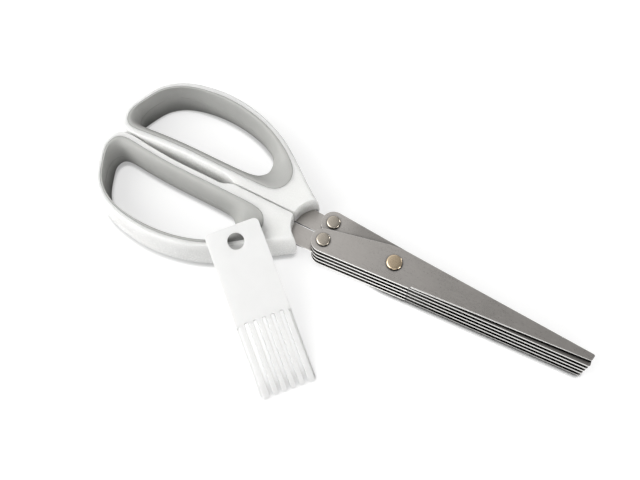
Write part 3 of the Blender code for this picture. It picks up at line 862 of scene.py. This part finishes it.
def headProfile(radius, face, top):  # from the middle of the crown out to where the head meets the pin
    bend = rivet["headRound"]
    flat = radius - bend
    rim = top - rivet["crown"]
    points = [(flat * t, top - rivet["crown"] * t ** 3) for t in rivet["crownShares"]]
    points += [(flat + bend * math.sin(a), rim - bend * (1 - math.cos(a)))
               for a in quarterTurn(rivet["roundSteps"])[1:]]
    return points + [(radius, face + rivet["footRise"]), (radius - rivet["footInset"], face)]


def rivetPiece(name, pinRadius, headRadius, low, high, centre, node, material):
    top = high + common["stackGap"]
    down = common["stackGap"] - low
    upper = headProfile(headRadius, top, top + rivet["headHeight"])
    lower = [(r, -z) for r, z in reversed(headProfile(headRadius, down, down + rivet["headHeight"]))]
    points = upper + [(pinRadius, top), (pinRadius, -down)] + lower
    turnedPiece(name, points, False, centre, 0, material, "rivet_steel", [node])


def ringPiece(name, pinRadius, radius, thick, centre, material, slot, nodes):
    bore = pinRadius + common["pinGap"]
    e = rivet["ringEdge"]
    h = thick / 2
    points = [(radius - e, h), (radius, h - e), (radius, e - h), (radius - e, -h),
              (bore + e, -h), (bore, e - h), (bore, h - e), (bore + e, h)]
    height = heightOf(nodes[0]) - midHeight
    height *= 1 if sideOf(nodes[0]) == "finger" else -1
    turnedPiece(name, points, True, centre, height, material, slot, nodes)


def numbered(start):  # the nodes between the blades
    return [start + str(i) for i in range(1, blade["count"])]


lowFace = firstHeight - common["bladeThick"] / 2
highFace = firstHeight + (blade["count"] - 1) * blade["pitch"] + common["bladeThick"] / 2
spacerRadius = 2 * blade["rearSide"] - blade["tongueRadius"] - rivet["spacerGap"]
spacerThick = blade["pitch"] - common["bladeThick"] - 2 * common["stackGap"]
washerThick = blade["pitch"] - 2 * common["bladeThick"] - blade["pairGap"] - 2 * common["stackGap"]
for side in ("finger", "thumb"):
    rivetPiece(side + "RearRivet", blade["rearPinRadius"], rivet["rearHead"], lowFace, highFace, rearPin,
               side + "_rear_rivet", rivetSteel)
    ringPiece(side + "Spacers", blade["rearPinRadius"], spacerRadius, spacerThick, rearPin, brushedSteel,
              "brushed_steel", numbered(side + "_spacer_"))
rivetPiece("pivotRivet", blade["pivotRadius"], rivet["pivotHead"], -highFace, highFace, pivotPin,
           "pivot_rivet", pivotSteel)
ringPiece("pivotWashers", blade["pivotRadius"], rivet["washerRadius"], washerThick, pivotPin, rivetSteel,
          "rivet_steel", numbered("pivot_washer_"))
print("rivets, washers and spacers built")


# Handle shells and the soft linings of their loops

handle = {
    "contactSide": 0.25 * mm,
    "frontReach": 31.4 * mm,
    "frontRadius": 10.0 * mm,
    "frontTipAngle": math.radians(113.5),
    "frontTipRound": 1.0 * mm,
    "outerWall": 3.3 * mm,
    "endWall": 2.6 * mm,
    "innerWall": 3.0 * mm,
    "outerRound": 1.9 * mm,
    "innerRound": 1.3 * mm,
    "frontRound": 0.5 * mm,
    "contactRound": 0.13 * mm,
    "barFlatStart": 66.9 * mm,
    "barFlatRun": 6.0 * mm,
    "neckPull": 7.0 * mm,
    "neckTipAngle": math.radians(152.0),
    "neckJoinSpan": 2.6,
    "barEndSpan": 17.0,
    "barSteps": 6,
    "tipSkip": 5,
    "roundSteps": 10,
    "flatRing": 1.03,
    "brokenEdge": 0.12 * mm,
    "brokenAngle": math.radians(40),
}
loopSize = (49.4 * mm, 69.9 * mm, 2.5 * mm, 28.4 * mm)  # front, length, inner side, height
loopShares = (
    (0.000, 0.300), (0.020, 0.468), (0.090, 0.632), (0.200, 0.798),
    (0.325, 0.917), (0.450, 0.982), (0.572, 1.000), (0.702, 0.966),
    (0.820, 0.880), (0.916, 0.700), (0.972, 0.424), (1.000, 0.208),
    (0.976, 0.042), (0.915, 0.000), (0.786, 0.031), (0.615, 0.058),
    (0.414, 0.058), (0.214, 0.058), (0.078, 0.071), (0.022, 0.158),
)
waistSize = (60.2 * mm, 57.2 * mm, 6.6 * mm, 22.2 * mm)
waistShares = (
    (0.000, 0.354), (0.018, 0.545), (0.071, 0.689), (0.157, 0.828),
    (0.267, 0.928), (0.394, 0.990), (0.540, 1.012), (0.690, 0.998),
    (0.823, 0.925), (0.920, 0.750), (0.980, 0.465), (1.000, 0.235),
    (0.980, 0.072), (0.925, 0.000), (0.786, 0.024), (0.584, 0.048),
    (0.344, 0.053), (0.133, 0.067), (0.055, 0.134), (0.013, 0.234),
)
lining = {
    "recess": 0.05 * mm,
    "rim": 0.6 * mm,
    "rimRound": 0.08 * mm,
    "rimEaseShare": 0.3,
    "seatGap": 0.03 * mm,
    "partingHeight": 0.10 * mm,
    "partingWidth": 0.24 * mm,
    "partingTopShare": 1 / 3,
    "throatSteps": 14,
}


def smoothstep(share):
    share = min(1, max(0, share))
    return share * share * (3 - 2 * share)


def loopCurve(shares, size):
    front, length, innerSide, height = size
    controls = [Vector((-front - x * length, innerSide + y * height)) for x, y in shares]
    return smoothLoop(controls, common["spanSteps"])


def between(low, high, share):
    return low + (high - low) * share


def loopWall(normal):  # the shell's wall beside the lining, where the loop's outline faces this way
    side = between(handle["outerWall"], handle["endWall"], abs(normal.x))
    return between(handle["innerWall"], side, smoothstep(normal.y + 1))


loopLine = loopCurve(loopShares, loopSize)
loopNormals = outwardNormals(loopLine)
waistLine = loopCurve(waistShares, waistSize)
loopFirst = round(handle["neckJoinSpan"] * common["spanSteps"])
loopLast = round(handle["barEndSpan"] * common["spanSteps"])
frontCentre = Vector((-handle["frontReach"], 0))


def loopRing(inward):  # the shell's outer side, from the neck, round the loop's rear, to the inner bar
    ring = []
    run = handle["barFlatRun"]
    flat = handle["contactSide"] + inward * handle["contactRound"]
    for point, normal in zip(loopLine[loopFirst:loopLast], loopNormals[loopFirst:loopLast]):
        roundness = between(handle["innerRound"], handle["outerRound"], smoothstep(normal.y + 1))
        place = point + normal * (loopWall(normal) - inward * roundness)
        place.y = max(place.y, flat)
        if normal.y < 0 and place.x > -handle["barFlatStart"] - run:
            place.y += (flat - place.y) * smoothstep((place.x + handle["barFlatStart"] + run) / run)
        ring.append(place)
    return ring


def neckSide(inward):  # one smooth bend from the front's tip to the loop
    normal = loopNormals[loopFirst]
    end = loopLine[loopFirst] + normal * loopWall(normal)
    start = onCircle(frontCentre, handle["frontRadius"], handle["frontTipAngle"])
    startWay = onCircle((0, 0), 1, handle["neckTipAngle"])
    endWay = Vector((-normal.y, normal.x))
    pull = handle["neckPull"]
    pulls = (start, start + startWay * pull, end - endWay * pull, end)
    steps = [pulls[k + 1] - pulls[k] for k in range(3)]
    side = []
    count = 4 * common["arcSteps"]
    for i in range(count):
        t = i / count
        spread = ((1 - t) ** 3, 3 * t * (1 - t) ** 2, 3 * t ** 2 * (1 - t), t ** 3)
        point = sum((p * weight for p, weight in zip(pulls, spread)), Vector((0, 0)))
        way = steps[0] * (1 - t) ** 2 + steps[1] * 2 * t * (1 - t) + steps[2] * t ** 2
        side.append(point - Vector((way.y, -way.x)).normalized() * inward)
    return side


def shellRing(inward):
    radius = handle["frontRadius"] + inward * handle["frontRound"]
    flat = handle["contactSide"] + inward * handle["contactRound"]
    innerCorner = Vector((-handle["frontReach"] - math.sqrt(radius ** 2 - flat ** 2), flat))
    side = [p for p in neckSide(inward * handle["outerRound"]) if (p - frontCentre).length > radius]
    count = common["arcSteps"]
    side = [side[round(i * (len(side) - 1) / count)] for i in range(count + 1)]
    reach = side[0] - frontCentre
    tip = frontCentre + reach.normalized() * radius
    cornerAngle = math.atan2(innerCorner.y, innerCorner.x + handle["frontReach"])
    front = arc(frontCentre, radius, cornerAngle, math.atan2(reach.y, reach.x), count)
    loop = loopRing(inward)
    bar = [loop[-1].lerp(innerCorner, i / handle["barSteps"]) for i in range(1, handle["barSteps"])]
    skip = handle["tipSkip"]
    ring = rounded(bar[-1], innerCorner, front[skip - 1], handle["frontTipRound"])
    ring += front[skip:-skip]
    ring += rounded(front[-skip], tip, side[1], handle["frontTipRound"])
    return ring + side[1:] + loop + bar


def fingerSide(points, z):
    return [(point.x, -point.y, z) for point in points]


def shellMesh():
    levels = [(math.sin(a), 1 - math.cos(a)) for a in quarterTurn(handle["roundSteps"])]
    levels.append((1, handle["flatRing"]))  # a narrow flat ring keeps the shading of the wide flat face true
    levels = [(-z, inward) for z, inward in reversed(levels)] + levels[1:]
    rings = [fingerSide(shellRing(inward), z * midHeight) for z, inward in levels]
    return ringLoft("handleShell", rings)


def seatCutter():
    wide = inset(loopLine, -lining["seatGap"])
    return plateMesh("seat", [[Vector((p.x, -p.y)) for p in wide]], 3 * midHeight)  # past both faces


def tangPocket():  # open at the front, with the peg left standing in it
    gap = common["fitGap"]
    front = -handle["frontReach"]
    corners = [(front, 0, 0), (-common["tangNeckEnd"] - gap, 0, 0), *tangCorners(gap)]
    corners.append((front, -common["tangOuterSide"] - gap, 0))
    pocket = plateMesh("pocket", [roundedOutline(corners), circle(pegCentre, common["pegRadius"])],
                       common["bladeThick"] + 2 * common["stackGap"])
    return shifted(pocket, 0, 0, (blade["pairGap"] + common["bladeThick"]) / 2)


def liningMesh():  # a ring whose throat swells from two rims to a waist at mid height
    half = midHeight - lining["recess"]
    edge = lining["rimRound"]
    ease = edge * lining["rimEaseShare"]
    rim = inset(loopLine, lining["rim"])
    tucked = inset(loopLine, edge)
    eased = inset(loopLine, ease)
    wall = ((tucked, half), (eased, half - ease), (loopLine, half - edge))
    rings = [fingerSide(line, -z) for line, z in wall] + [fingerSide(line, z) for line, z in reversed(wall)]
    steps = lining["throatSteps"]
    foot = lining["partingWidth"] / 2
    crest = foot * lining["partingTopShare"]
    parting = inset(waistLine, lining["partingHeight"])
    for i in range(2 * steps + 1):
        turn = math.pi / 2 * (1 - i / steps)
        throat = [a.lerp(b, math.cos(turn)) for a, b in zip(rim, waistLine)]
        if i == steps:
            ridge = ((throat, foot), (parting, crest), (parting, -crest), (throat, -foot))
            rings += [fingerSide(line, z) for line, z in ridge]
        else:
            rings.append(fingerSide(throat, math.sin(turn) * half))
    return ringLoft("gripLining", rings, closed=True)


shell = finishedMesh(shellMesh(), [seatCutter(), tangPocket()], handle["brokenEdge"], handle["brokenAngle"])
grip = liningMesh()
for side in ("finger", "thumb"):
    addPiece(side + "HandleShell", halfCopy(shell, side), whiteShell, "white_shell", side + "_half",
             side + "_handle_shell")
    addPiece(side + "GripLining", halfCopy(grip, side), greyLining, "soft_grey_lining", side + "_half",
             side + "_grip_lining")
print("handles built")


# Cleaning comb: x across, y from the tooth tips along its length, z = 0 on its underside

comb = {
    "heading": math.radians(49.3),
    "length": 63.4 * mm,
    "topWidth": 20.6 * mm,
    "thick": 2.2 * mm,
    "step": 0.25 * mm,
    "stepSetback": 0.3 * mm,
    "teeth": 6,
    "pitch": blade["pitch"],
    "toothLength": 27.9 * mm,
    "toothWidth": 2.1 * mm,
    "tipLand": 0.05 * mm,
    "draft": 0.25 * mm,
    "flank": 1.05 * mm,
    "tipThick": 1.3 * mm,
    "corner": 2.2 * mm,
    "holeRadius": 3.15 * mm,
    "holeSetback": 5.9 * mm,
    "brokenEdge": 0.12 * mm,
    "brokenAngle": math.radians(30),
    "tipsX": -13.7364 * mm,  # the middle of the tooth tips on the table
    "tipsY": -55.9532 * mm,
    "slope": math.radians(19.7444),
}
comb["rootWidth"] = (comb["teeth"] - 1) * comb["pitch"] + comb["toothWidth"] + 2 * comb["flank"]


def combPlate():
    half = comb["rootWidth"] / 2
    top = comb["topWidth"] / 2
    shoulder = comb["toothLength"] - comb["flank"]
    r = comb["toothWidth"] / 2
    tips = arc((-half + r, r), r, math.pi, 1.5 * math.pi) + arc((half - r, r), r, 1.5 * math.pi, math.tau)
    body = [
        (half, shoulder, 0),
        (top, comb["length"], comb["corner"]),
        (-top, comb["length"], comb["corner"]),
        (-half, shoulder, 0),
    ]
    outlines = [roundedOutline(sharp(tips) + body)]
    outlines.append(circle((0, comb["length"] - comb["holeSetback"]), comb["holeRadius"]))
    return shifted(plateMesh("cleaningComb", outlines, comb["thick"]), 0, 0, comb["thick"] / 2)


def slotMesh():  # the space between two teeth, wider at the top and flared round the tips of the teeth
    half = (comb["pitch"] - comb["toothWidth"]) / 2
    mouth = comb["pitch"] / 2 - comb["tipLand"]
    tip = comb["toothWidth"] / 2
    far = 1 * mm
    rings = []
    for z in (-comb["thick"] / 4, comb["thick"] * 1.5):  # past both faces of the plate
        lean = comb["draft"] * z / comb["thick"]
        w = half + lean
        end = comb["toothLength"] - half + lean
        side = [Vector((-mouth + (mouth - w) * math.sin(a), tip - tip * math.cos(a)))
                for a in quarterTurn(common["cornerSteps"])]
        outline = [Vector((-mouth, -far))] + side + arc((0, end), w, math.pi, 0, 2 * common["cornerSteps"])
        outline += [Vector((-p.x, p.y)) for p in reversed(side)] + [Vector((mouth, -far))]
        rings.append([(p.x, p.y, z) for p in outline])
    return ringLoft("slot", rings)


def flankCutter(sign):  # the slope that takes off an outer tooth's side
    lean = comb["flank"] + comb["draft"]
    edge = comb["rootWidth"] / 2
    far = edge + 3 * lean
    rings = []
    for rise in (0, 2):
        x = edge - lean * rise
        root = comb["toothLength"] - lean * (1 - rise)
        corners = ((x, -lean), (far, -lean), (far, root), (x, root))
        rings.append([(sign * a, b, rise * comb["thick"]) for a, b in corners])
    return ringLoft("flank", rings)


def combMesh():
    step = comb["toothLength"] + comb["stepSetback"]
    taper = math.atan2(comb["thick"] - comb["step"] - comb["tipThick"], step)
    wide = comb["rootWidth"]
    corners = ((-wide, -2 * step), (wide, -2 * step), (wide, 0), (-wide, 0))
    wedge = ringLoft("wedge", [[(x, y, z) for x, y in corners] for z in (0, comb["thick"])])
    wedge.transform(Matrix.Rotation(taper, 4, "X"))
    shifted(wedge, 0, step, comb["thick"] - comb["step"])
    blank = finishedMesh(combPlate(), [wedge, flankCutter(1), flankCutter(-1)])
    slot = holderOf("slotCutter", slotMesh())
    values = {"Slot": slot, "Slots": comb["teeth"] - 1, "Pitch": comb["pitch"], "Material": combWhite}
    cut = runTree("cleaningComb", blank, combSlots, values)
    bpy.data.objects.remove(slot)
    return finishedMesh(cut, [], comb["brokenEdge"], comb["brokenAngle"])


turned = Matrix.Rotation(comb["heading"], 4, "Z") @ Matrix.Rotation(comb["slope"], 4, "X")
leaning = combMesh()
leaning.transform(Matrix.Translation((comb["tipsX"], comb["tipsY"], 0)) @ turned)
addPiece("cleaningComb", leaning, combWhite, "comb_white", "comb", "cleaning_comb")
print("comb built")


# Floor, lights and camera

stage = {
    "floorSize": 3.0,
    "floorTint": (0.43, 0.43, 0.43),
    "floorLift": 0.70,
    "floorRoughness": 0.9,
    "floorGloss": 0.1,
    "fade": (0.35, 0.9),
    "contactShadow": (2.4 * mm, 0.55, 0.9),  # painted contact shadow: reach, dark below, open above
    "contactShadowDepth": {"X": (-37 * mm, -32 * mm, 0.5), "Y": (-44 * mm, -28 * mm, 0.25)},  # ranges where the painted contact shadow comes in along X and Y, and the least
    "skyBright": (1.12, 1.12, 1.12, 1),
    "skyDark": (0.27, 0.27, 0.27, 1),
    "skyShade": (-0.32, 0.015),
    "skyTurn": (0.06, 0.15),
    "skyRise": 1.35,
    "skyLight": 0.3,
    "eye": (0.0299, -0.1142, 0.3261),
    "aim": (-0.0314, 0.0012, 0.0),
    "lens": 50.625,
    "sensor": 36,
    "nearest": 0.01,
    "lampAim": (-0.03, 0, 0),
}
lamps = {  # place, size, power and tint
    "keyLamp": ((-0.71, -0.44, 0.75), 1.3, 14.3, (1, 1, 0.99)),
    "sideLamp": ((0.9, -0.1, 0.22), 0.4, 3.6, (1, 0.995, 0.985)),
    "fillLamp": ((0.35, -0.75, 0.55), 0.7, 2.0, (0.99, 0.995, 1)),
    "rimLamp": ((0.4, 0.85, 0.35), 0.25, 1.8, (1, 1, 1)),
}


def aimed(name, data, place, target):
    holder = holderOf(name, data)
    holder.location = place
    holder.rotation_euler = (Vector(target) - Vector(place)).to_track_quat("-Z", "Y").to_euler()
    return holder


def raysOf(tree):  # whether the camera sees a place directly, and whether through gloss or glass
    rays = addNode(tree, "ShaderNodeLightPath").outputs
    return rays["Is Camera Ray"], larger(tree, rays["Is Glossy Ray"], rays["Is Transmission Ray"])


def floorMaterial():
    material, tree, shader, place = newMaterial("paleFloor")
    axes = partsOf(tree, place)
    # painted contact shadow on the floor's colour and glow, strongest beside the blades
    depths = [rangeNode(tree, axes[axis], *span) for axis, span in stage["contactShadowDepth"].items()]
    closed = crowding(tree, *stage["contactShadow"])
    paintedShadeFactor = oneLess(tree, product(tree, closed, product(tree, *depths)))
    away = addNode(tree, "ShaderNodeVectorMath", [(0, place)], operation="LENGTH").outputs["Value"]
    faded = rangeNode(tree, away, *stage["fade"], stage["floorLift"])
    direct, mirrored = raysOf(tree)
    seen = larger(tree, product(tree, direct, faded), product(tree, mirrored, stage["floorLift"]))
    fillNode(tree, shader, [
        ("Base Color", scaled(tree, stage["floorTint"], paintedShadeFactor)),
        ("Roughness", stage["floorRoughness"]),
        ("Specular IOR Level", stage["floorGloss"]),
        ("Emission Color", (1, 1, 1, 1)),
        ("Emission Strength", product(tree, seen, paintedShadeFactor)),
    ])
    return material


def buildWorld():
    world = bpy.data.worlds.new("softStudio")
    bpy.context.scene.world = world
    world.use_nodes = True
    tree = world.node_tree
    across = partsOf(tree, addNode(tree, "ShaderNodeTexCoord").outputs["Generated"])["X"]
    sky = mixNode(tree, rangeNode(tree, across, *stage["skyShade"]), stage["skyBright"], stage["skyDark"])
    direct, mirrored = raysOf(tree)
    strength = rangeNode(tree, mirrored, 0.0, 1.0, stage["skyLight"])
    rise = rangeNode(tree, across, *stage["skyTurn"], 1.0, stage["skyRise"])
    lit = scaled(tree, sky, product(tree, strength, rise))
    fillNode(tree, tree.nodes["Background"], [("Color", mixNode(tree, direct, lit, (1, 1, 1, 1)))])


floorMesh = bpy.data.meshes.new("floor")
reach = stage["floorSize"] / 2
corners = [(-reach, -reach, 0), (reach, -reach, 0), (reach, reach, 0), (-reach, reach, 0)]
floorMesh.from_pydata(corners, [], [(0, 1, 2, 3)])
floorMesh.materials.append(floorMaterial())
holderOf("floor", floorMesh)
buildWorld()
for name, (place, size, power, tint) in lamps.items():
    lamp = bpy.data.lights.new(name, "AREA")
    lamp.shape = "DISK"
    lamp.size = size
    lamp.energy = power
    lamp.color = tint
    aimed(name, lamp, place, stage["lampAim"])

camera = aimed("photoCamera", bpy.data.cameras.new("photoCamera"), stage["eye"], stage["aim"])
camera.data.sensor_width = stage["sensor"]
camera.data.lens = stage["lens"]
camera.data.clip_start = stage["nearest"]
bpy.context.scene.camera = camera
bpy.context.scene.view_settings.view_transform = "Standard"
print("stage built")
